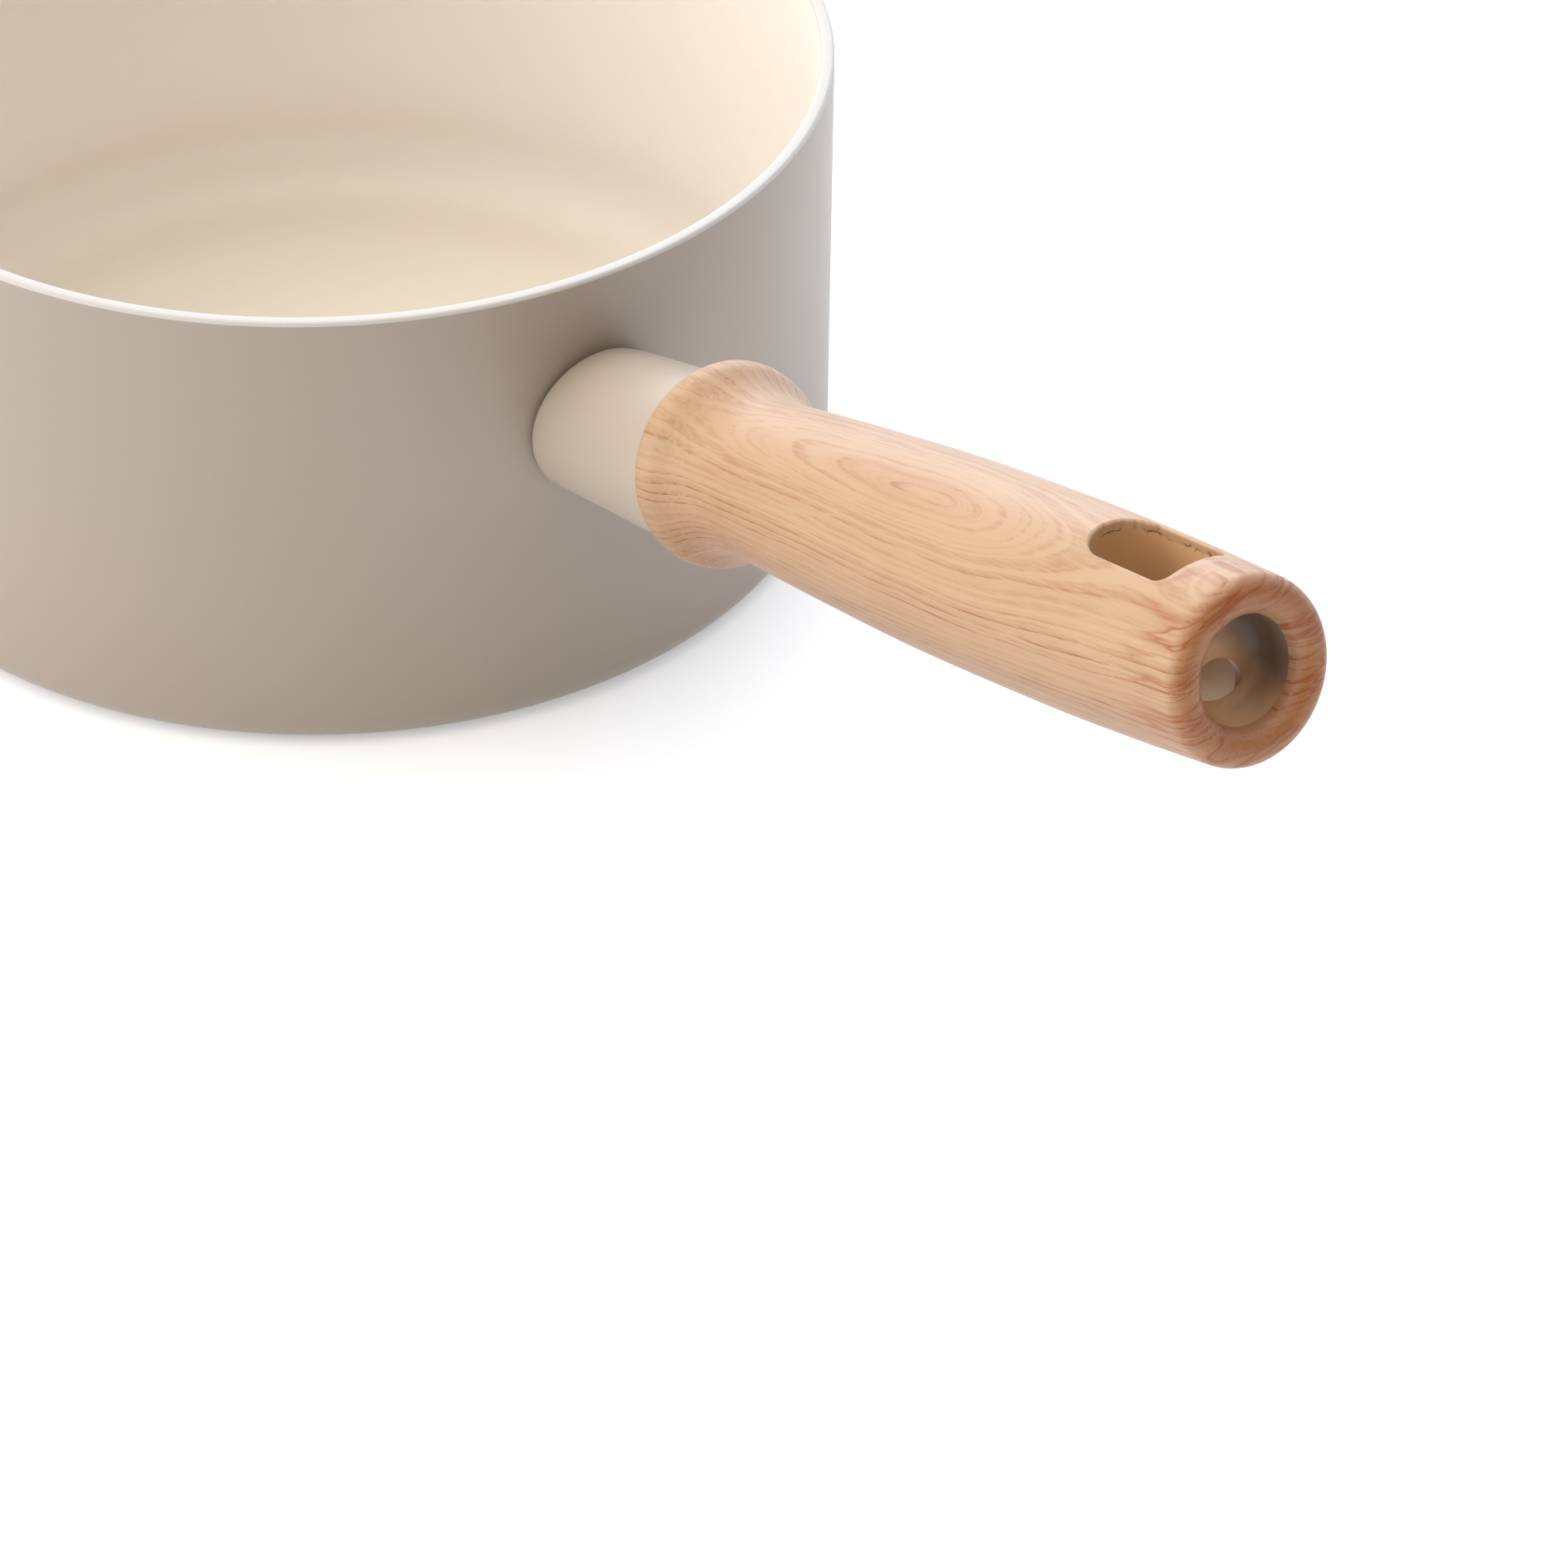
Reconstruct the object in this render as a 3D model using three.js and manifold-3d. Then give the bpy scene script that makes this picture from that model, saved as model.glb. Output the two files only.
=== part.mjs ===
// Saucepan, 16 cm nominal, 1.5 litres: a pressed aluminium pan with an induction base, and a
// long handle held by one screw that runs through the grip into a stud welded to the wall.
// Millimetres, +Z up. The origin is the centre of the base, on the surface the pan stands on.
// The handle points along +X and rises outwards.
import * as THREE from 'three';
import { mergeVertices } from 'three/addons/utils/BufferGeometryUtils.js';
import Module from 'manifold-3d';

const wasm = await Module();
wasm.setup();

// Driving dimensions. Along the handle, distances start at the pan's wall.
const GAP = 0.3; // between pieces that touch
const PAN = { radius: 83, height: 79, wall: 2.2, floor: 4.5, corner: 5, innerCorner: 12, rimRound: 0.6 };
const BASE = { radius: 70, thickness: 0.8, holeRadius: 2.6, rings: 4, ringPitch: 15, holesPerRing: 6 };
const HANDLE = { height: 54.5, rise: 16.8, length: 168 }; // height of its root, rise in degrees
const FERRULE = { rootRadius: 11.9, tipRadius: 13.5, length: 38, wall: 1.5, drop: 1 };
const SPIGOT = { radius: 9, end: 45, holeRadius: 3.8 }; // the ferrule's plug inside the grip
const GRIP = { start: 36.5, lip: 1.6, endRadius: 13.3, endRound: 2.6, squeeze: 0.02 };
const SLOT = { start: 138, end: 157.4, width: 11.3, startCorner: 5, endCorner: 2 };
const RECESS = { radius: 7.7, depth: 9.2, corner: 3 }; // round and blind, in the grip's end
const SCREW = { droop: 1.5, radius: 2, tip: 8, seat: 118, headRadius: 3.5, headHeight: 4 };
const SOCKET = { radius: 1.75, depth: 2.4 };
const WASHER = { innerRadius: 2.3, outerRadius: 3.7, flat: 0.8, spring: 1, split: 0.9 };
const STUD = { radius: 7.5, length: 22, boreRadius: 3.5, boreStart: 6 };
const INSERT = { innerRadius: 2.3, outerRadius: 3.2, start: 10, length: 10 };
const SIDES = { pan: 80, handle: 40, hardware: 24, hole: 8 };

// The grip's radius at distances along the handle: collar, waist, belly and end.
const GRIP_PROFILE = [
  [38.1, 15.75],
  [40.5, 15.3],
  [43.5, 13.7],
  [46.5, 12.6],
  [50.5, 12.05],
  [56.5, 12.4],
  [74, 13.3],
  [100, 14.3],
  [130, 14.4],
  [150, 13.95],
];

function finish(color, roughness, metalness = 0) {
  return new THREE.MeshStandardMaterial({ color, roughness, metalness });
}

const materials = {
  pan: finish(0xb8a898, 0.55),
  cream: finish(0xd9c8ae, 0.45),
  wood: finish(0xe0b588, 0.5),
  baseSteel: finish(0xb5b5b2, 0.35, 1),
  aluminium: finish(0xc9cacb, 0.4, 1),
  fastener: finish(0xa7a9ac, 0.3, 1),
};

// A closed outline of [radius, distance along the axis] turned round the Y axis.
function turned(points, sides) {
  const outline = points.map(([radius, along]) => new THREE.Vector2(radius, along));
  return new THREE.LatheGeometry(outline, sides);
}

// A plain round bar along Y, from one distance to another.
function bar(radius, from, to, sides) {
  return turned([[0, from], [radius, from], [radius, to], [0, to]], sides);
}

// A plain ring along Y.
function ring(innerRadius, outerRadius, from, length) {
  const to = from + length;
  const start = [innerRadius, from];
  return turned([start, [outerRadius, from], [outerRadius, to], [innerRadius, to], start], SIDES.hardware);
}

// Points of an arc about a centre, between two angles in degrees, as [radius, along].
function arc(centreRadius, centreAlong, radius, fromDegrees, toDegrees, steps) {
  const points = [];
  for (let i = 0; i <= steps; i += 1) {
    const angle = THREE.MathUtils.degToRad(fromDegrees + ((toDegrees - fromDegrees) * i) / steps);
    points.push([centreRadius + radius * Math.cos(angle), centreAlong + radius * Math.sin(angle)]);
  }
  return points;
}

// A geometry as a manifold solid, with its corners merged by place alone.
function solid(geometry) {
  const bare = geometry.clone();
  bare.deleteAttribute('normal');
  bare.deleteAttribute('uv');
  const merged = mergeVertices(bare, 1e-4);
  const mesh = new wasm.Mesh({
    numProp: 3,
    vertProperties: new Float32Array(merged.getAttribute('position').array),
    triVerts: new Uint32Array(merged.getIndex().array),
  });
  return new wasm.Manifold(mesh);
}

// A geometry with others cut out of it.
function cut(geometry, ...tools) {
  const body = tools.reduce((rest, tool) => rest.subtract(solid(tool)), solid(geometry));
  const { vertProperties, triVerts } = body.getMesh();
  const result = new THREE.BufferGeometry();
  result.setAttribute('position', new THREE.BufferAttribute(vertProperties, 3));
  result.setIndex(new THREE.BufferAttribute(triVerts, 1));
  result.computeVertexNormals();
  return result;
}

function piece(name, geometry, material) {
  const mesh = new THREE.Mesh(geometry, material);
  mesh.name = name;
  return mesh;
}

// The handle's frame: its axis is local Y, its underside faces local +X and its side is local Z.
const handle = new THREE.Group();
handle.position.set(PAN.radius, 0, HANDLE.height);
handle.rotation.set(Math.PI / 2, 0, THREE.MathUtils.degToRad(HANDLE.rise - 90));

// The line of the screw and of everything on it. It droops a little from the handle's axis, so
// that the key, put in below the middle of the grip's end, meets the screw's head.
const DROOP = -THREE.MathUtils.degToRad(SCREW.droop);
const screwLine = new THREE.Group();
screwLine.rotation.z = DROOP;
handle.add(screwLine);
handle.updateMatrixWorld(true);

// The pan's outer surface, a gap larger, in a group's frame: what cuts the saddle ends.
function panCutter(group) {
  const cutter = bar(PAN.radius + GAP, 0, PAN.height, SIDES.pan);
  cutter.rotateX(Math.PI / 2);
  return cutter.applyMatrix4(group.matrixWorld.clone().invert());
}

function panBody() {
  const { radius, height, wall, floor, corner, innerCorner, rimRound } = PAN;
  const inner = radius - wall;
  const pocket = BASE.radius + GAP;
  const pocketDepth = BASE.thickness + GAP;
  const outline = [
    [0, pocketDepth],
    [pocket, pocketDepth],
    [pocket, 0],
    ...arc(radius - corner, corner, corner, -90, 0, 6),
    ...arc(radius - rimRound, height - rimRound, rimRound, 0, 90, 3),
    ...arc(inner + rimRound, height - rimRound, rimRound, 90, 180, 3),
    ...arc(inner - innerCorner, floor + innerCorner, innerCorner, 0, -90, 7),
    [0, floor],
  ];
  const geometry = turned(outline, SIDES.pan);
  geometry.rotateX(Math.PI / 2);
  return piece('pan_body', geometry, materials.pan);
}

// A perforated steel disc pressed into the underside, so that the pan works on an induction hob.
function inductionDisc() {
  const disc = new THREE.Shape().absarc(0, 0, BASE.radius, 0, 2 * Math.PI);
  for (let row = 1; row <= BASE.rings; row += 1) {
    const count = row * BASE.holesPerRing;
    const away = row * BASE.ringPitch;
    for (let i = 0; i < count; i += 1) {
      const angle = (2 * Math.PI * (i + row / 2)) / count;
      const centre = new THREE.Vector2(away, 0).rotateAround(new THREE.Vector2(), angle);
      const corners = [];
      for (let side = 0; side < SIDES.hole; side += 1) {
        const turn = (2 * Math.PI * side) / SIDES.hole;
        const corner = new THREE.Vector2(BASE.holeRadius, 0).rotateAround(new THREE.Vector2(), turn);
        corners.push(corner.add(centre));
      }
      disc.holes.push(new THREE.Path(corners).closePath());
    }
  }
  const options = { depth: BASE.thickness, bevelEnabled: false, curveSegments: SIDES.pan };
  return piece('induction_disc', new THREE.ExtrudeGeometry(disc, options), materials.baseSteel);
}

// The cream tube between the wall and the grip: a saddle at the wall and a closed spigot inside
// the grip. It sits a little below the handle's axis.
function ferrule() {
  const { rootRadius, tipRadius, length, wall, drop } = FERRULE;
  const flare = (tipRadius - rootRadius) / length;
  const root = -PAN.wall * 3;
  const rootEdge = rootRadius + flare * root;
  const outline = [
    [rootEdge - wall, root],
    [rootEdge, root],
    [tipRadius, length - 0.4],
    [tipRadius - 0.4, length],
    [SPIGOT.radius, length],
    [SPIGOT.radius, SPIGOT.end],
    [SPIGOT.holeRadius, SPIGOT.end],
    [SPIGOT.holeRadius, SPIGOT.end - wall],
    [SPIGOT.radius - wall, SPIGOT.end - wall],
    [SPIGOT.radius - wall, length - wall],
    [tipRadius - wall, length - wall],
    [rootEdge - wall, root],
  ];
  const tube = turned(outline, SIDES.handle).translate(drop, 0, 0);
  return piece('ferrule', cut(tube, panCutter(handle)), materials.cream);
}

// The stud welded to the wall inside the ferrule, bored for the threaded insert.
function weldStud() {
  const stud = bar(STUD.radius, -PAN.wall * 3, STUD.length, SIDES.hardware);
  const bore = bar(STUD.boreRadius, STUD.boreStart, STUD.length + 1, SIDES.hardware);
  return piece('weld_stud', cut(stud, bore, panCutter(screwLine)), materials.aluminium);
}

function threadInsert() {
  const geometry = ring(INSERT.innerRadius, INSERT.outerRadius, INSERT.start, INSERT.length);
  return piece('thread_insert', geometry, materials.fastener);
}

// The grip's outside, from the collar's front to the rounded end.
function gripOutline() {
  const { start, lip, endRadius, endRound } = GRIP;
  const endStart = HANDLE.length - endRound;
  const knots = [...GRIP_PROFILE, [endStart, endRadius]];
  const flank = new THREE.SplineCurve(knots.map(([along, radius]) => new THREE.Vector2(radius, along)));
  const front = arc(GRIP_PROFILE[0][1] - lip, start + lip, lip, -90, 0, 3);
  const side = flank.getPoints(30).map((point) => [point.x, point.y]);
  const end = arc(endRadius - endRound, endStart, endRound, 0, 90, 4);
  return [[0, start], ...front, ...side.slice(1), ...end.slice(1), [0, HANDLE.length]];
}

// Narrows the grip a little from side to side towards its end.
function squeezeSides(geometry) {
  const position = geometry.getAttribute('position');
  for (let i = 0; i < position.count; i += 1) {
    const share = THREE.MathUtils.smoothstep(position.getY(i), HANDLE.length / 3, HANDLE.length * 0.7);
    position.setZ(i, position.getZ(i) * (1 - GRIP.squeeze * share));
  }
}

// The hanging slot, with rounded corners, through the grip from its top to its underside.
function slotCutter() {
  const { start, end, startCorner, endCorner } = SLOT;
  const half = SLOT.width / 2;
  const quarter = Math.PI / 2;
  const outline = new THREE.Shape();
  outline.absarc(half - endCorner, end - endCorner, endCorner, 0, quarter);
  outline.absarc(endCorner - half, end - endCorner, endCorner, quarter, 2 * quarter);
  outline.absarc(startCorner - half, start + startCorner, startCorner, 2 * quarter, 3 * quarter);
  outline.absarc(half - startCorner, start + startCorner, startCorner, 3 * quarter, 4 * quarter);
  const options = { depth: 40, bevelEnabled: false, curveSegments: 5 };
  const slot = new THREE.ExtrudeGeometry(outline, options).translate(0, 0, -options.depth / 2);
  return slot.rotateY(Math.PI / 2);
}

// The moulded phenolic grip, with its seat for the ferrule, screw bore, slot and end recess. The
// bore for the screw's head crosses the slot and opens into the recess, which lets the key in.
function grip() {
  const body = turned(gripOutline(), SIDES.handle);
  squeezeSides(body);
  const seat = bar(FERRULE.tipRadius + GAP, 0, FERRULE.length + GAP, SIDES.handle);
  seat.translate(FERRULE.drop, 0, 0);
  const spigotBore = bar(SPIGOT.radius + GAP, 0, SPIGOT.end + GAP, SIDES.handle);
  spigotBore.translate(FERRULE.drop, 0, 0);
  const shankBore = bar(SCREW.radius + GAP, 0, SCREW.seat + 1, SIDES.hardware);
  const recessFloor = HANDLE.length - RECESS.depth;
  const headBore = bar(WASHER.outerRadius + GAP, SCREW.seat, recessFloor + 0.2, SIDES.hardware);
  shankBore.rotateZ(DROOP);
  headBore.rotateZ(DROOP);
  const { radius, corner } = RECESS;
  const bottom = arc(radius - corner, recessFloor + corner, corner, -90, 0, 4);
  const recessOutline = [[0, recessFloor], ...bottom, [radius, HANDLE.length + 1], [0, HANDLE.length + 1]];
  const recess = turned(recessOutline, SIDES.handle);
  const geometry = cut(body, seat, spigotBore, shankBore, headBore, recess, slotCutter());
  return piece('grip', geometry, materials.wood);
}

function flatWasher(start) {
  const geometry = ring(WASHER.innerRadius, WASHER.outerRadius, start, WASHER.flat);
  return piece('flat_washer', geometry, materials.fastener);
}

function springWasher(start) {
  const whole = ring(WASHER.innerRadius, WASHER.outerRadius - 0.1, start, WASHER.spring);
  const split = new THREE.BoxGeometry(WASHER.outerRadius * 2, WASHER.spring * 3, WASHER.split);
  split.translate(-WASHER.outerRadius, start, 0);
  return piece('spring_washer', cut(whole, split), materials.fastener);
}

// The long socket-head screw: its tip is in the insert and its head is in the grip's counterbore.
function tieScrew(headStart) {
  const { radius, tip, headRadius, headHeight } = SCREW;
  const headEnd = headStart + headHeight;
  const outline = [
    [0, tip],
    [radius - 0.5, tip],
    [radius, tip + 0.7],
    [radius, headStart],
    [headRadius, headStart],
    [headRadius, headEnd - 0.4],
    [headRadius - 0.4, headEnd],
    [0, headEnd],
  ];
  const socket = bar(SOCKET.radius, headEnd - SOCKET.depth, headEnd + 1, 6);
  return piece('tie_screw', cut(turned(outline, SIDES.hardware), socket), materials.fastener);
}

const flatWasherStart = SCREW.seat + GAP;
const springWasherStart = flatWasherStart + WASHER.flat + GAP;
const headStart = springWasherStart + WASHER.spring + GAP;
handle.add(ferrule(), grip());
screwLine.add(weldStud(), threadInsert(), tieScrew(headStart));
screwLine.add(flatWasher(flatWasherStart), springWasher(springWasherStart));

const saucepan = new THREE.Group();
saucepan.add(panBody(), inductionDisc(), handle);
export default saucepan;
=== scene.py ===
"""The looks of the saucepan, in metres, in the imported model's frame."""

import math

import bmesh
import bpy
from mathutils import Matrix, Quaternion, Vector


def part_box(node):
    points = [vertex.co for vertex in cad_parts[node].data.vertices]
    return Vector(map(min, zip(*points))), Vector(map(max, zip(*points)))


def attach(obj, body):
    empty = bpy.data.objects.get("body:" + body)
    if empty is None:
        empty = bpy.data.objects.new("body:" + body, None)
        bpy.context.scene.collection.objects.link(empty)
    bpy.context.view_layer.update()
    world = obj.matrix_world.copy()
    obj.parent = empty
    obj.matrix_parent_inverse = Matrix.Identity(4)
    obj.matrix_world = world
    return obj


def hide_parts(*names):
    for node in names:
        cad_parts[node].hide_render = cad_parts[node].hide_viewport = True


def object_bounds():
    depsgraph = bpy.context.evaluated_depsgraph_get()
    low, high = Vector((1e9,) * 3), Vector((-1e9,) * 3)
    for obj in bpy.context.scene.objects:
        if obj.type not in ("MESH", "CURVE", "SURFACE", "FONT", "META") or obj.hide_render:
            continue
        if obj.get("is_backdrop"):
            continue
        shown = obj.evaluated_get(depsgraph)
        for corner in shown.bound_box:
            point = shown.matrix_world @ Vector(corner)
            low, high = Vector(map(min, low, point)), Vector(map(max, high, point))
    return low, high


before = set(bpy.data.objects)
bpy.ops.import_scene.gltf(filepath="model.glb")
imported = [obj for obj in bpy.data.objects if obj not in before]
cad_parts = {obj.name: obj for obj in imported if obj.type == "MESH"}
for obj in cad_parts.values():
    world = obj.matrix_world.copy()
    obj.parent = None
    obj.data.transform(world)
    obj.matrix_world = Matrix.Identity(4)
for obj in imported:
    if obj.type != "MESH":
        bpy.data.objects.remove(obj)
cad_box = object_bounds()

MM = 0.001
GAP = 0.3  # between the pan's wall and what is fixed to it
PAN_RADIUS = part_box("pan_body")[1][0] / MM
PAN_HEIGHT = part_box("pan_body")[1][2] / MM
PAN_WALL = 2.2
PAN_FLOOR = 4.6  # how high the floor's upper side is at its middle

# Distances along the handle start at the pan's wall.
HANDLE_HEIGHT = 54.5
HANDLE_RISE = math.radians(16.8)
HANDLE_LENGTH = 167.97
HANDLE_ROOT = Vector((PAN_RADIUS, 0, HANDLE_HEIGHT))
FERRULE_DROP = 1.0  # the cream tube sits this much below the handle's axis
SCREW_DROOP = math.radians(1.5)  # how far the screw's line leans down from the handle's axis
SLOT_START, SLOT_END, SLOT_WIDTH = 138.0, 157.4, 11.3
RECESS_RADIUS, RECESS_FLOOR = 7.7, 158.8
SHARP_EDGE = math.radians(35)  # edges above this angle aren't shaded smooth

# The grip's radius at distances along the handle: collar, waist, belly and end.
GRIP_PROFILE = [
    (38.1, 15.75),
    (40.5, 15.3),
    (43.5, 13.7),
    (46.5, 12.6),
    (50.5, 12.05),
    (56.5, 12.4),
    (74, 13.3),
    (100, 14.3),
    (130, 14.4),
    (150, 13.95),
    (165.4, 13.3),
]


class Axis:
    """A line out from the pan's wall, in the upright plane through the handle."""

    def __init__(self, rise, drop=0.0):
        self.along = Vector((math.cos(rise), 0, math.sin(rise)))
        self.across = Vector((0, -1, 0))
        self.up = Vector((-math.sin(rise), 0, math.cos(rise)))
        self.origin = HANDLE_ROOT - self.up * drop

    def point(self, along, across, up):
        return self.origin + self.along * along + self.across * across + self.up * up

    def place(self, radius, along, angle):
        """A point beside the line; angle 0 is the handle's right side, 90 degrees its top."""
        return self.point(along, radius * math.cos(angle), radius * math.sin(angle))


handle_axis = Axis(HANDLE_RISE)
ferrule_axis = Axis(HANDLE_RISE, FERRULE_DROP)
screw_axis = Axis(HANDLE_RISE - SCREW_DROOP)


# ---- meshes -------------------------------------------------------------------------------


def make_object(name, vertices, faces, looks, look_of_face=None):
    """A smooth-shaded object from vertices in millimetres. Its looks are material names."""
    mesh = bpy.data.meshes.new(name)
    mesh.from_pydata([Vector(v) * MM for v in vertices], [], faces)
    for look in looks:
        mesh.materials.append(materials[look])
    if look_of_face:
        mesh.polygons.foreach_set("material_index", look_of_face)
    whole = bmesh.new()
    whole.from_mesh(mesh)
    bmesh.ops.recalc_face_normals(whole, faces=whole.faces)
    whole.to_mesh(mesh)
    whole.free()
    shade(mesh)
    obj = bpy.data.objects.new(name, mesh)
    bpy.context.scene.collection.objects.link(obj)
    return obj


def shade(mesh):
    mesh.polygons.foreach_set("use_smooth", [True] * len(mesh.polygons))
    mesh.set_sharp_from_angle(angle=SHARP_EDGE)
    mesh.update()


def arc(centre, radius, from_degrees, to_degrees, steps):
    """Points of an arc about a centre. They and the centre are (distance from axis, along)."""
    points = []
    for i in range(steps + 1):
        angle = math.radians(from_degrees + (to_degrees - from_degrees) * i / steps)
        points.append((centre[0] + radius * math.cos(angle), centre[1] + radius * math.sin(angle)))
    return points


def on_pan(radius, along, angle):
    """A point about the pan's axis, at a height along it."""
    return Vector((radius * math.cos(angle), radius * math.sin(angle), along))


def turned(name, outline, sides, place, looks, closed=False, slots=None):
    """An outline of (radius, along) turned round an axis. A point on the axis is one vertex."""
    vertices, rows = [], []
    for radius, along in outline:
        if radius == 0:
            rows.append([len(vertices)] * sides)
            vertices.append(place(0, along, 0))
        else:
            rows.append(list(range(len(vertices), len(vertices) + sides)))
            vertices += [place(radius, along, 2 * math.pi * i / sides) for i in range(sides)]
    faces, face_slots = [], []
    pairs = list(zip(rows, rows[1:] + rows[:1] if closed else rows[1:]))
    for index, (low, high) in enumerate(pairs):
        for i in range(sides):
            j = (i + 1) % sides
            corners = dict.fromkeys([low[i], low[j], high[j], high[i]])
            faces.append(list(corners))
            face_slots.append(slots[index] if slots else 0)
    return make_object(name, vertices, faces, looks, face_slots)


def spline(knots, steps):
    """A smooth curve through (along, radius) knots, as (radius, along) points."""
    points = []
    padded = [knots[0], *knots, knots[-1]]
    for before, start, end, after in zip(padded, padded[1:], padded[2:], padded[3:]):
        for i in range(steps):
            t = i / steps
            point = []
            for a, b, c, d in zip(before, start, end, after):
                curve = 2 * b + (c - a) * t + (2 * a - 5 * b + 4 * c - d) * t**2
                point.append(0.5 * (curve + (3 * b - a - 3 * c + d) * t**3))
            points.append((point[1], point[0]))
    points.append((knots[-1][1], knots[-1][0]))
    return points


def cut(obj, tool):
    """Cuts a tool out of an object. The new faces keep the tool's materials."""
    modifier = obj.modifiers.new("cut", "BOOLEAN")
    modifier.object = tool
    modifier.operation = "DIFFERENCE"
    modifier.solver = "EXACT"
    modifier.material_mode = "TRANSFER"
    graph = bpy.context.evaluated_depsgraph_get()
    mesh = bpy.data.meshes.new_from_object(obj.evaluated_get(graph))
    obj.modifiers.clear()
    obj.data = mesh
    bpy.data.objects.remove(tool)


# ---- materials ----------------------------------------------------------------------------


class Nodes:
    """Short names for building the nodes of a material or a world."""

    def __init__(self, owner):
        owner.use_nodes = True
        self.owner = owner
        self.tree = owner.node_tree

    def add(self, kind, inputs=None, **settings):
        node = self.tree.nodes.new(kind)
        for key, value in settings.items():
            setattr(node, key, value)
        for key, value in (inputs or {}).items():
            self.put(node.inputs[key], value)
        return node

    def put(self, socket, value):
        if isinstance(value, bpy.types.NodeSocket):
            self.tree.links.new(value, socket)
        else:
            socket.default_value = value

    def math(self, operation, *values):
        node = self.add("ShaderNodeMath", operation=operation)
        for socket, value in zip(node.inputs, values):
            self.put(socket, value)
        return node.outputs[0]

    def mix(self, factor, first, second, blend="MIX"):
        node = self.add("ShaderNodeMix", data_type="RGBA", blend_type=blend)
        self.put(node.inputs[0], factor)
        self.put(node.inputs[6], first)
        self.put(node.inputs[7], second)
        return node.outputs[2]

    def ramp(self, factor, *stops):
        """Stops are (position, value)."""
        node = self.add("ShaderNodeValToRGB", {"Fac": factor})
        elements = node.color_ramp.elements
        while len(elements) < len(stops):
            elements.new(0.5)
        for element, (position, value) in zip(elements, stops):
            element.position = position
            element.color = (value, value, value, 1)
        return node.outputs[0]

    def place(self):
        """Object coordinates in millimetres."""
        coordinates = self.add("ShaderNodeTexCoord").outputs["Object"]
        inputs = {"Vector": coordinates, "Scale": (1 / MM, 1 / MM, 1 / MM)}
        return self.add("ShaderNodeMapping", inputs).outputs[0]

    def combine(self, x=0.0, y=0.0, z=0.0):
        return self.add("ShaderNodeCombineXYZ", {"X": x, "Y": y, "Z": z}).outputs[0]

    def separate(self, vector):
        return self.add("ShaderNodeSeparateXYZ", {"Vector": vector}).outputs

    def length(self, vector):
        node = self.add("ShaderNodeVectorMath", {0: vector}, operation="LENGTH")
        return node.outputs["Value"]

    def rescale(self, value, start, end, low=0.0, smooth=False):
        """Goes from low to 1 as a value goes from start to end, and stays there."""
        inputs = {"Value": value, "From Min": start, "From Max": end, "To Min": low}
        node = self.add("ShaderNodeMapRange", inputs)
        if smooth:
            node.interpolation_type = "SMOOTHSTEP"
        return node.outputs[0]

    def darken(self, factor, colour, by):
        """Multiplies a colour by another, by a factor."""
        return self.mix(factor, colour, self.mix(1.0, colour, (*by, 1), "MULTIPLY"))

    def noise(self, vector, scale, detail=3.0, roughness=0.5, distortion=0.0):
        inputs = {"Vector": vector, "Scale": scale, "Detail": detail, "Roughness": roughness}
        inputs["Distortion"] = distortion
        return self.add("ShaderNodeTexNoise", inputs).outputs[0]

    def bump(self, height, distance):
        return self.add("ShaderNodeBump", {"Height": height, "Distance": distance * MM}).outputs[0]

    def surface(self, **inputs):
        for key, value in inputs.items():
            self.put(self.tree.nodes["Principled BSDF"].inputs[key.replace("_", " ")], value)
        return self.owner


def srgb(red, green, blue):
    """A colour from 0 to 255 values, as the linear values that a socket takes."""
    channels = [c / 255 for c in (red, green, blue)]
    linear = [c / 12.92 if c <= 0.04045 else ((c + 0.055) / 1.055) ** 2.4 for c in channels]
    return (*linear, 1.0)


def coating(name, colour, low_colour, roughness, lacquer=0.0):
    """A sprayed coating with fine orange peel and specks, and another shade low on the pan."""
    nodes = Nodes(bpy.data.materials.new(name))
    place = nodes.place()
    clouds = nodes.noise(place, 0.035, 2)
    peel = nodes.noise(place, 1.6, 2)
    specks = nodes.noise(place, 5.0, 1)
    high = nodes.rescale(nodes.separate(place)[2], 2, 30, smooth=True)
    tint = nodes.mix(high, low_colour, colour)
    gloss = nodes.math("MULTIPLY_ADD", clouds, 0.08, roughness - 0.04)
    grain = nodes.math("MULTIPLY_ADD", specks, 0.25, peel)
    nodes.surface(Coat_Weight=lacquer, Coat_Roughness=0.28)
    return nodes.surface(Base_Color=tint, Roughness=gloss, Normal=nodes.bump(grain, 0.02))


def metal(name, colour, roughness):
    """Bare metal, faintly mottled."""
    nodes = Nodes(bpy.data.materials.new(name))
    mottle = nodes.noise(nodes.place(), 1.0, 3)
    gloss = nodes.math("MULTIPLY_ADD", mottle, 0.25, roughness - 0.12)
    tint = nodes.mix(mottle, colour, tuple(c * 0.86 for c in colour[:3]) + (1.0,))
    dents = nodes.bump(mottle, 0.01)
    return nodes.surface(Base_Color=tint, Metallic=1.0, Roughness=gloss, Normal=dents)


def lathe_turned(name, colour, roughness, pitch):
    """Metal with concentric turning lines about the pan's axis."""
    nodes = Nodes(bpy.data.materials.new(name))
    x, y, _ = nodes.separate(nodes.place())
    away = nodes.length(nodes.combine(x, y))
    lines = nodes.noise(nodes.combine(nodes.math("DIVIDE", away, pitch)), 1.0, 2)
    gloss = nodes.math("MULTIPLY_ADD", lines, 0.2, roughness - 0.1)
    grooves = nodes.bump(lines, 0.03)
    return nodes.surface(Base_Color=colour, Metallic=1.0, Roughness=gloss, Normal=grooves)


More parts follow.
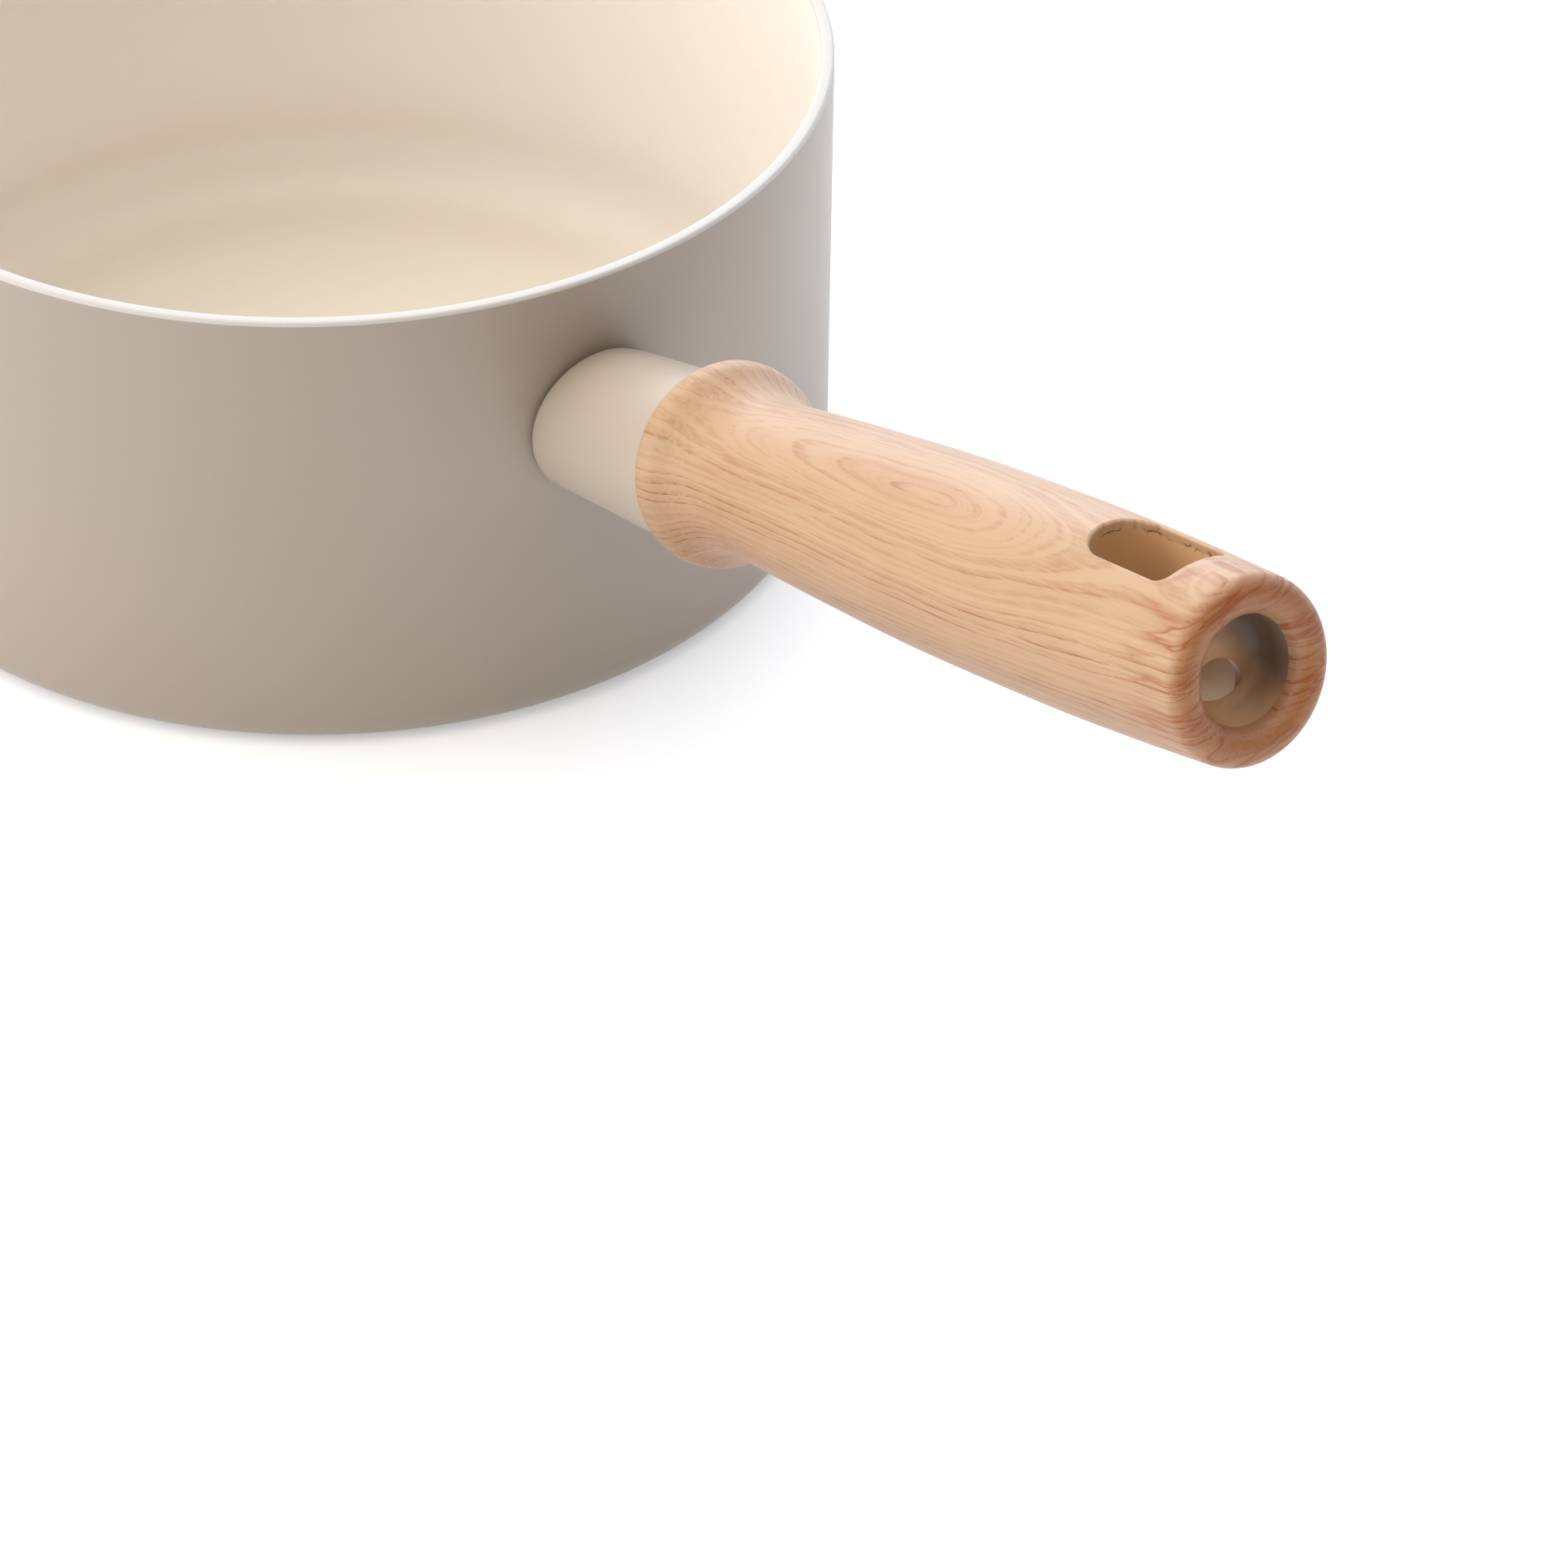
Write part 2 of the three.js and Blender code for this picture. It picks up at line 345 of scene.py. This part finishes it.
def handle_place(nodes):
    """Coordinates in the handle's frame, in millimetres: along, across to +Y and up."""
    coordinates = nodes.add("ShaderNodeTexCoord").outputs["Object"]
    inputs = {
        "Vector": coordinates,
        "Location": tuple(HANDLE_ROOT * MM),
        "Rotation": (0, -HANDLE_RISE, 0),
        "Scale": (MM, MM, MM),
    }
    return nodes.add("ShaderNodeMapping", inputs, vector_type="TEXTURE").outputs[0]


def stretched(nodes, place, along_scale):
    """Handle coordinates that make patterns longer along the handle."""
    along, side, up = nodes.separate(place)
    return nodes.combine(nodes.math("MULTIPLY", along, along_scale), side, up)


def growth_rings(nodes, place, near_end):
    """Which growth ring a place is in, and how far it is from the eye of the rings.

    The rings are long loops round an eye on the grip's upper right. They turn into straight
    bands across the grip's end.
    """
    along, side, up = nodes.separate(place)
    turn = nodes.math("ARCTAN2", nodes.math("MULTIPLY", side, -1.0), up)
    middle = nodes.math("MULTIPLY_ADD", nodes.math("COSINE", turn), 3.3, 3.3)
    aside = nodes.math("SUBTRACT", nodes.math("MULTIPLY", turn, 13), middle)
    beyond = nodes.math("SUBTRACT", nodes.math("SMOOTH_MIN", along, 145.0, 25.0), 107)
    towards_end = nodes.math("MULTIPLY", beyond, 0.04)
    towards_pan = nodes.math("MULTIPLY", beyond, -0.016)
    lengthwise = nodes.math("MAXIMUM", towards_end, towards_pan)
    away = nodes.length(nodes.combine(nodes.math("MULTIPLY", lengthwise, middle), aside))

    straight = nodes.math("SUBTRACT", 18.5, up)
    rings = nodes.math("MULTIPLY_ADD", nodes.math("SUBTRACT", straight, away), near_end, away)
    slow, slower = stretched(nodes, place, 0.3), stretched(nodes, place, 0.1)
    for where, scale, width in ((slow, 0.06, 5.0), (slower, 0.3, 1.0), (slower, 1.1, 0.3)):
        rings = nodes.math("MULTIPLY_ADD", nodes.noise(where, scale, 2), width, rings)
    widening = nodes.math("DIVIDE", nodes.math("MULTIPLY", rings, rings), 250.0)
    return nodes.math("ADD", rings, widening), away


def grain_lines(nodes, place, near_end, fibres, patches):
    """The film's colour with its lines: broad soft bands, fine lines and sharp broken ones."""
    rings, away = growth_rings(nodes, place, near_end)
    ring = nodes.combine(rings, 0.4, 0.6)
    broken = nodes.ramp(fibres, (0.38, 0.12), (0.58, 1.0))
    dense = nodes.ramp(patches, (0.36, 0.45), (0.56, 1.0))

    line = nodes.math("FRACT", nodes.math("DIVIDE", rings, 1.5))
    rise, fall = ((0.5, 0.0), (0.76, 0.2), (0.85, 1.0)), ((0.91, 1.0), (0.97, 0.0))
    line = nodes.ramp(line, (0, 0.0), *rise, *fall)
    grade = nodes.ramp(nodes.noise(ring, 0.42, 1), (0.38, 0.2), (0.56, 1.0))
    bold = nodes.rescale(away, 4, 18, low=0.55)
    sharp = nodes.math("MULTIPLY", nodes.math("MULTIPLY", line, grade), broken)
    sharp = nodes.math("MULTIPLY", nodes.math("MULTIPLY", sharp, dense), bold)

    soft = nodes.ramp(nodes.noise(ring, 0.3, 3, 0.6), (0.4, 0.0), (0.64, 1.0))
    soft = nodes.math("MULTIPLY", nodes.math("MULTIPLY", soft, dense), 0.3)
    fine = nodes.ramp(nodes.noise(ring, 1.6, 2, 0.6), (0.46, 0.0), (0.62, 1.0))
    fine = nodes.math("MULTIPLY", nodes.math("MULTIPLY", fine, broken), 0.42)

    film = nodes.mix(patches, srgb(182, 151, 119), srgb(175, 143, 108))
    film = nodes.mix(soft, film, srgb(161, 118, 81))
    film = nodes.mix(fine, film, srgb(148, 98, 56))
    return nodes.mix(sharp, film, srgb(136, 72, 14))


def darker_end(nodes, place, near_end, film):
    """The film has painted shade underneath and is darker on the end's face, which reddish streaks
    cross.
    """
    along, side, up = nodes.separate(place)
    on_face = nodes.rescale(along, 165.8, 167.7)
    # Painted shade: darker towards the grip's underside, but not on the end's face.
    painted_shade_under = nodes.rescale(up, 3, -11)
    painted_shade_under = nodes.math("SUBTRACT", painted_shade_under, nodes.math("MULTIPLY", painted_shade_under, on_face))
    film = nodes.darken(painted_shade_under, film, (0.74, 0.63, 0.55))
    film = nodes.darken(on_face, film, (0.82, 0.6, 0.43))

    length = nodes.math("MULTIPLY", along, 0.07)
    width = nodes.math("MULTIPLY", side, 0.16)
    slant = nodes.math("MULTIPLY_ADD", side, -0.3, up)
    bands = nodes.noise(nodes.combine(length, width, slant), 0.3, 3, 0.5, 0.3)
    thin = (0.4, 0.0), (0.415, 0.8), (0.43, 0.0)
    bold = (0.5, 0.0), (0.55, 0.4), (0.57, 1.0), (0.59, 0.2)
    streak = nodes.math("MULTIPLY", nodes.ramp(bands, *thin, *bold), near_end)
    return nodes.mix(nodes.math("MULTIPLY", streak, 0.9), film, srgb(140, 64, 16))


def torn_in_slot(nodes, place, film):
    """Inside the slot the film stops short at an irregular edge, cracked dark in places."""
    along, side, up = nodes.separate(place)
    square = nodes.math("ADD", nodes.math("MULTIPLY", side, side), nodes.math("MULTIPLY", up, up))
    surface_radius = nodes.math("MULTIPLY_ADD", along, -0.0225, 17.32)
    depth = nodes.math("SUBTRACT", surface_radius, nodes.math("SQRT", square))
    ragged = nodes.noise(place, 0.55, 5, 0.75)
    torn = nodes.math("SUBTRACT", depth, nodes.math("MULTIPLY_ADD", ragged, 3.0, -0.2))
    in_slot = nodes.math("COMPARE", along, 147.5, 13.0)
    bare = nodes.math("MULTIPLY", nodes.math("GREATER_THAN", torn, 0.0), in_slot)
    crack = nodes.math("MULTIPLY", nodes.math("COMPARE", torn, 0.0, 0.09), in_slot)
    some = nodes.ramp(nodes.noise(place, 0.3, 1), (0.5, 0.0), (0.54, 1.0))
    crack = nodes.math("MULTIPLY", crack, some)

    # Painted shade and light on the bare slot wall: darker towards the pan and lower down, lighter
    # towards the grip's end.
    wall = nodes.mix(nodes.rescale(along, 138, 157), srgb(178, 138, 97), srgb(209, 169, 127))
    wall = nodes.darken(nodes.rescale(up, 5, -5), wall, (0.55, 0.55, 0.57))
    return nodes.mix(crack, nodes.mix(bare, film, wall), srgb(84, 48, 28))


def wood_print(name):
    """A printed film of wood grain, wrapped round the grip."""
    nodes = Nodes(bpy.data.materials.new(name))
    place = handle_place(nodes)
    near_end = nodes.rescale(nodes.separate(place)[0], 151, 167, smooth=True)
    fibres = nodes.noise(stretched(nodes, place, 0.05), 2.2, 4, 0.65)
    patches = nodes.noise(stretched(nodes, place, 0.3), 0.16, 3, 0.6)
    film = grain_lines(nodes, place, near_end, fibres, patches)
    film = darker_end(nodes, place, near_end, film)
    tint = torn_in_slot(nodes, place, film)
    gloss = nodes.math("MULTIPLY_ADD", fibres, 0.12, 0.38)
    height = nodes.math("ADD", fibres, nodes.noise(place, 3.0, 2))
    return nodes.surface(Base_Color=tint, Roughness=gloss, Normal=nodes.bump(height, 0.015))


def moulded(name, colour, darker, roughness):
    """Plain moulded plastic with a fine even texture."""
    nodes = Nodes(bpy.data.materials.new(name))
    place = nodes.place()
    clouds = nodes.noise(place, 0.08, 2)
    grain = nodes.noise(place, 4.0, 2)
    tint = nodes.mix(clouds, colour, darker)
    gloss = nodes.math("MULTIPLY_ADD", grain, 0.1, roughness - 0.05)
    return nodes.surface(Base_Color=tint, Roughness=gloss, Normal=nodes.bump(grain, 0.01))


def recess_plastic(name, tan, painted_shade_colour):
    """Tan plastic with painted shade on the recess's wall, darkest up and to one side."""
    nodes = Nodes(bpy.data.materials.new(name))
    place = handle_place(nodes)
    _, side, up = nodes.separate(place)
    square = nodes.math("ADD", nodes.math("MULTIPLY", side, side), nodes.math("MULTIPLY", up, up))
    lean = nodes.math("MULTIPLY", nodes.math("ADD", side, up), 0.35)
    reach = nodes.math("ADD", nodes.math("SQRT", square), lean)
    reach = nodes.math("MULTIPLY_ADD", nodes.noise(place, 0.25, 3), 3.0, reach)
    # Painted shade: the recess's floor stays tan and goes dark towards its wall.
    tint = nodes.mix(nodes.rescale(reach, 4, 10.5), tan, painted_shade_colour)
    return nodes.surface(Base_Color=tint, Roughness=0.42)


materials = {
    "outside": coating("taupe_coating", srgb(161, 149, 137), srgb(159, 147, 133), 0.44, 0.25),
    "inside": coating("cream_coating", srgb(237, 231, 224), srgb(224, 216, 204), 0.34),
    "rim": coating("rim_coating", srgb(198, 196, 193), srgb(198, 196, 193), 0.5),
    "underside": lathe_turned("turned_aluminium", srgb(205, 205, 207), 0.35, 0.6),
    "disc": lathe_turned("turned_steel", srgb(176, 177, 178), 0.32, 0.35),
    "ferrule": moulded("cream_plastic", srgb(174, 162, 148), srgb(170, 158, 144), 0.36),
    "wood": wood_print("wood_print"),
    # Painted shade: the bores' tan plastic is darker than the grip's own tan, for the shade inside
    # them.
    "plain": moulded("shaded_tan_plastic", srgb(151, 121, 91), srgb(146, 115, 85), 0.5),
    "recess": recess_plastic("recess_painted_shade", srgb(222, 177, 134), srgb(112, 95, 83)),
    "bare": metal("bare_aluminium", srgb(201, 202, 204), 0.4),
    "steel": metal("zinc_steel", srgb(172, 174, 177), 0.3),
}


# ---- pieces -------------------------------------------------------------------------------


def stands_for(obj, node):
    """Hangs a piece on the root body and hides the CAD node that it stands for."""
    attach(obj, "root")
    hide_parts(node)
    return obj


def pan_shell():
    """The pressed pan, from the middle of its underside over the rim to the floor's middle."""
    inner = PAN_RADIUS - PAN_WALL
    corner, fillet, edge = 5.0, 12.0, 0.6
    underside = [(0, 1.1), (70.3, 1.1), (70.3, 0.25), (70.55, 0)]
    outside = arc((PAN_RADIUS - corner, corner), corner, -90, 0, 10)
    wall = [(PAN_RADIUS, z) for z in (20, 40, 60)]
    lip = arc((PAN_RADIUS - edge, PAN_HEIGHT - edge), edge, 0, 90, 6)
    inner_lip = arc((inner + edge, PAN_HEIGHT - edge), edge, 90, 180, 6)
    inner_wall = [inner_lip.pop(), *((inner, z) for z in (60, 40, 25))]
    bottom = arc((inner - fillet, 4.5 + fillet), fillet, 0, -90, 16)
    floor = [(63, PAN_FLOOR), (61, 4.64), (59.6, 4.63), (58.5, 4.57), (57.4, 4.49), (56.2, 4.43)]
    floor += [(54.5, 4.4), (45, 4.46), (30, 4.56), (12, PAN_FLOOR)]
    rings = [underside, outside + wall, lip + inner_lip, inner_wall + bottom + floor]
    slots = [slot for slot, ring in enumerate(rings) for _ in ring]
    outline = [point for ring in rings for point in ring] + [(0, PAN_FLOOR)]
    looks = ("underside", "outside", "rim", "inside")
    shell = turned("pan_shell", outline, 256, on_pan, looks, slots=slots)
    return stands_for(shell, "pan_body")


def ferrule_tube():
    """The cream tube: its wall end follows the pan and has a soft edge."""
    sides, root, tip, length = 144, 11.9, 13.5, 38.0
    soft, place = 1.4, ferrule_axis.place

    def wall_distance(radius, angle):
        """Where a line along the tube's surface comes to a gap from the pan."""
        start = place(radius, 0, angle)
        reach = math.sqrt((PAN_RADIUS + GAP) ** 2 - start.y**2)
        return (reach - start.x) / ferrule_axis.along.x

    vertices, faces = [], []
    rows = [("inner", None)]
    rows += [("edge", t / 6) for t in range(7)]
    rows += [("side", t / 12) for t in range(1, 13)]
    for kind, share in rows:
        for i in range(sides):
            angle = 2 * math.pi * i / sides
            meet = wall_distance(root, angle)
            if kind == "inner":
                radius, along = root - 1.5, wall_distance(root - 1.5, angle)
            elif kind == "edge":
                turn = math.pi / 2 * share
                radius = root - soft * (1 - math.sin(turn))
                along = meet + soft * (1 - math.cos(turn))
            else:
                along = meet + soft + (length - meet - soft) * share
                radius = root + (tip - root) * max(along, 0) / length
            vertices.append(place(radius, along, angle))
    for row in range(len(rows) - 1):
        for i in range(sides):
            j = (i + 1) % sides
            low, high = row * sides, (row + 1) * sides
            faces.append([low + i, low + j, high + j, high + i])
    tube = make_object("ferrule_tube", vertices, faces, ("ferrule",))
    return stands_for(tube, "ferrule")


def width_share(along):
    """How much the grip is narrowed from side to side."""
    share = min(max((along - 56) / 61.6, 0), 1)
    return 1 - 0.02 * share * share * (3 - 2 * share)


def on_grip(radius, along, angle):
    """A point of the grip, which is a little narrower than it is high towards its end."""
    across = radius * math.cos(angle) * width_share(along)
    return handle_axis.point(along, across, radius * math.sin(angle))


def grip_height(along, across):
    """How far the grip's top is above its axis."""
    profile = spline(GRIP_PROFILE, 8)
    for (radius, start), (next_radius, end) in zip(profile, profile[1:]):
        if start <= along <= end:
            radius += (next_radius - radius) * (along - start) / (end - start)
            return math.sqrt(radius**2 - (across / width_share(along)) ** 2)


def slot_tool():
    """What cuts the slot: it flares near the grip's top and underside, which rounds the edges."""
    half, soft = SLOT_WIDTH / 2, 0.55
    start_corner, end_corner, steps = 5.0, 2.0, 8
    start, end = SLOT_START + start_corner, SLOT_END - end_corner
    corners = [(end, 1, end_corner, 0), (start, 1, start_corner, 90)]
    corners += [(start, -1, start_corner, 180), (end, -1, end_corner, 270)]
    outline = []
    for middle, side, radius, turn in corners:
        for i in range(steps + 1):
            angle = math.radians(turn + 90 * i / steps)
            outline.append((middle, side * (half - radius), radius, angle))
    flare = [(5.0, 0.0)]
    for angle in map(math.radians, range(0, 76, 15)):
        flare.append((soft * (1 - math.sin(angle)), soft * (1 - math.cos(angle))))
    flare += [(-1.5, 0.8)]
    levels = [(-1, depth, out) for depth, out in flare[::-1]]
    levels += [(1, depth, out) for depth, out in flare]
    vertices = []
    for facing, depth, out in levels:
        for middle, aside, radius, angle in outline:
            along = middle + (radius + out) * math.cos(angle)
            across = aside + (radius + out) * math.sin(angle)
            up = facing * (grip_height(along, across) - depth)
            vertices.append(handle_axis.point(along, across, up))
    count = len(outline)
    faces = [list(range(count))[::-1], list(range(len(vertices) - count, len(vertices)))]
    for row in range(len(levels) - 1):
        for i in range(count):
            j = (i + 1) % count
            low, high = row * count, (row + 1) * count
            faces.append([low + i, low + j, high + j, high + i])
    return make_object("slot_tool", vertices, faces, ("wood",))


def bore(name, axis, radius, start, end):
    outline = [(0, start), (radius, start), (radius, end), (0, end)]
    return turned(name, outline, 64, axis.place, ("plain",))


def grip_body():
    start, lip, round_end = 36.5, 1.6, 2.6
    front = arc((15.75 - lip, start + lip), lip, -90, 0, 6)
    side = spline(GRIP_PROFILE, 8)
    end = arc((13.3 - round_end, HANDLE_LENGTH - round_end), round_end, 0, 90, 7)
    mouth = [(10.0, 167.95), (9.3, 167.75), (8.7, 167.35), (8.2, 166.8), (7.85, 166.1)]
    mouth += [(RECESS_RADIUS, 165.2)]
    corner = arc((RECESS_RADIUS - 3, RECESS_FLOOR + 3), 3.0, 0, -90, 8)
    outline = [(0, start), *front, *side[1:], *end[1:], *mouth, *corner, (0, RECESS_FLOOR)]
    printed = len(front) + len(side) - 1 + len(end) - 1 + len(mouth)
    slots = [0] * printed + [1] * (len(outline) - printed)
    body = turned("grip_body", outline, 128, on_grip, ("wood", "recess", "plain"), slots=slots)
    cut(body, bore("seat", ferrule_axis, 13.8, 30, 38.3))
    cut(body, bore("spigot_bore", ferrule_axis, 9.3, 38, 45.3))
    cut(body, bore("shank_bore", screw_axis, 2.3, 45, 118.5))
    cut(body, bore("head_bore", screw_axis, 4.0, 118, 159.1))
    cut(body, slot_tool())
    shade(body.data)
    return stands_for(body, "grip")


def induction_disc():
    """The steel disc in the underside, with its rings of round holes."""
    rim = [(69.75, 0), (70, 0.2), (70, 0.8)]
    disc = turned("induction_disc_plate", [(0, 0), *rim, (0, 0.8)], 256, on_pan, ("disc",))
    vertices, faces, sides = [], [], 24
    for row in range(1, 5):
        for i in range(row * 6):
            turn = math.pi * 2 * (i + row / 2) / (row * 6)
            middle = on_pan(15 * row, 0, turn)
            first = len(vertices)
            for height in (-1, 2):
                for side in range(sides):
                    vertices.append(middle + on_pan(2.5, height, 2 * math.pi * side / sides))
            low = list(range(first, first + sides))
            high = [corner + sides for corner in low]
            faces += [low[::-1], high]
            faces += [[low[k - 1], low[k], high[k], high[k - 1]] for k in range(sides)]
    cut(disc, make_object("hole_tools", vertices, faces, ("disc",)))
    shade(disc.data)
    return stands_for(disc, "induction_disc")


def weld_stud():
    """The stud on the pan's wall: its wall end follows the pan, a gap away."""
    outline = [(0, -6.6), (7.5, -6.6), (7.5, 21.5), (7, 22)]
    outline += [(3.9, 22), (3.5, 21.6), (3.5, 6), (0, 6)]
    stud = turned("stud", outline, 96, screw_axis.place, ("bare",))
    pan = [(0, 0), (PAN_RADIUS + GAP, 0), (PAN_RADIUS + GAP, PAN_HEIGHT), (0, PAN_HEIGHT)]
    cut(stud, turned("pan_tool", pan, 256, on_pan, ("bare",)))
    shade(stud.data)
    return stands_for(stud, "weld_stud")


def thread_insert():
    """The knurled sleeve in the stud."""

    def knurled(radius, along, angle):
        ridge = round(angle * 96 / (2 * math.pi)) % 2
        return screw_axis.place(radius - (0.15 * ridge if radius > 3.1 else 0), along, angle)

    outline = [(2.3, 10), (3, 10), (3.2, 10.3), (3.2, 14.6), (2.95, 14.8)]
    outline += [(2.95, 15.2), (3.2, 15.4), (3.2, 19.7), (3, 20), (2.3, 20)]
    insert = turned("knurled_insert", outline, 96, knurled, ("steel",), closed=True)
    return stands_for(insert, "thread_insert")


def tie_screw():
    """The long screw: a cut thread at its tip, and a cylinder head with a hexagon socket."""
    pitch, thread_start, thread_end, head_start, head_end = 0.7, 8.7, 25.0, 120.7, 124.7

    def threaded(radius, along, angle):
        if thread_start <= along <= thread_end:
            phase = (along / pitch - angle / (2 * math.pi)) % 1
            radius -= 0.36 * abs(2 * phase - 1)
        return screw_axis.place(radius, along, angle)

    steps = round((thread_end - thread_start) / pitch * 8)
    thread = [(2, thread_start + pitch / 8 * i) for i in range(steps + 1)]
    head = [(2, head_start), (3.3, head_start), (3.5, head_start + 0.2), (3.5, head_end - 0.4)]
    tip, top = [(0, 8), (1.4, 8)], [(3.35, head_end - 0.12), (3.05, head_end), (0, head_end)]
    outline = tip + thread + head + top
    screw = turned("screw", outline, 32, threaded, ("steel",))
    socket = [(0, head_end - 2.4), (1.75, head_end - 2.4), (1.75, head_end + 1), (0, head_end + 1)]
    cut(screw, turned("key_tool", socket, 6, screw_axis.place, ("steel",)))
    shade(screw.data)
    return stands_for(screw, "tie_screw")


def flat_washer():
    outline = [(2.3, 118.3), (3.6, 118.3), (3.7, 118.4), (3.7, 119), (3.6, 119.1), (2.3, 119.1)]
    washer = turned("plain_washer", outline, 96, screw_axis.place, ("steel",), closed=True)
    return stands_for(washer, "flat_washer")


def spring_washer():
    """A ring of square section with a gap at its top."""
    section = [(2.3, 119.4), (3.5, 119.4), (3.6, 119.5), (3.6, 120.3), (3.5, 120.4), (2.3, 120.4)]
    steps, half_gap = 64, 8.6
    vertices, faces = [], []
    for i in range(steps + 1):
        angle = math.radians(90 + half_gap + (360 - 2 * half_gap) * i / steps)
        vertices += [screw_axis.place(radius, along, angle) for radius, along in section]
    count = len(section)
    for i in range(steps):
        low, high = i * count, (i + 1) * count
        faces += [[low + k - 1, low + k, high + k, high + k - 1] for k in range(1, count)]
        faces.append([low + count - 1, low, high, high + count - 1])
    faces += [list(range(count)), list(range(steps * count, (steps + 1) * count))]
    washer = make_object("split_washer", vertices, faces, ("steel",))
    return stands_for(washer, "spring_washer")


# ---- camera, light and floor --------------------------------------------------------------


def camera():
    data = bpy.data.cameras.new("camera")
    data.sensor_width = 36
    data.lens = 131.95
    data.clip_end = 20
    obj = bpy.data.objects.new("camera", data)
    bpy.context.scene.collection.objects.link(obj)
    looking = Vector((-0.65672, 0.45015, -0.60504))
    obj.location = (0.70855, -0.39275, 0.54404)
    obj.rotation_mode = "QUATERNION"
    obj.rotation_quaternion = looking.to_track_quat("-Z", "Y") @ Quaternion((0, 0, 1), 0.01553)
    bpy.context.scene.camera = obj


def sky(world, base, glows):
    """Even light from all round, plus a glow towards each (direction, colour, tightness).

    A glow with a negative colour takes light away from its side of the sky.
    """
    nodes = Nodes(world)
    towards = nodes.add("ShaderNodeTexCoord").outputs["Generated"]
    total = base
    for direction, colour, tightness in glows:
        inputs = {0: towards, 1: Vector(direction).normalized()}
        facing = nodes.add("ShaderNodeVectorMath", inputs, operation="DOT_PRODUCT")
        share = nodes.math("MAXIMUM", facing.outputs["Value"], 0.0)
        glow = nodes.math("POWER", share, tightness)
        inputs = {0: glow, 1: colour, 2: total}
        total = nodes.add("ShaderNodeVectorMath", inputs, operation="MULTIPLY_ADD").outputs[0]
    inputs = {0: total, 1: (0, 0, 0)}
    total = nodes.add("ShaderNodeVectorMath", inputs, operation="MAXIMUM").outputs[0]
    nodes.put(world.node_tree.nodes["Background"].inputs["Color"], total)


def studio():
    scene = bpy.context.scene
    scene.world = bpy.data.worlds.new("studio")
    glows = [
        ((0, 0, 1), (1.55, 1.45, 1.27), 2.5),
        ((-0.53, 0.4, 0.76), (1.6, 1.6, 1.6), 50),
        ((-0.56, -0.83, 0.4), (1.7, 1.62, 1.55), 3),
        ((-0.2, -1, 0.1), (1.95, 1.87, 1.78), 8),
        ((-0.9, 0.43, 0.15), (2.7, 2.87, 3.2), 8),
        ((-0.6, 0.5, 0.6), (0.6, 0.7, 0.95), 6),
        ((-0.1, 1, 0.15), (0.6, 1.05, 1.9), 12),
        ((1, -0.15, 0), (-0.35, -0.45, -0.55), 2),
    ]
    sky(scene.world, (0.225, 0.225, 0.235), glows)
    scene.view_settings.view_transform = "Standard"
    scene.view_settings.look = "None"

    bpy.ops.mesh.primitive_plane_add(size=6, location=(0, 0, 0))
    floor = bpy.context.active_object
    floor.name = "floor"
    white = Nodes(bpy.data.materials.new("floor_white"))
    white.surface(Base_Color=(0.785, 0.8, 0.82, 1), Roughness=0.9)
    white.surface(Emission_Color=(0.96, 1, 1.06, 1), Emission_Strength=0.325)
    floor.data.materials.append(white.owner)
    floor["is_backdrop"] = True


pan_shell()
induction_disc()
ferrule_tube()
grip_body()
weld_stud()
thread_insert()
tie_screw()
flat_washer()
spring_washer()

camera()
studio()

boxes = {"cad": cad_box, "visual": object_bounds()}
{name: [list(map(float, corner)) for corner in box] for name, box in boxes.items()}
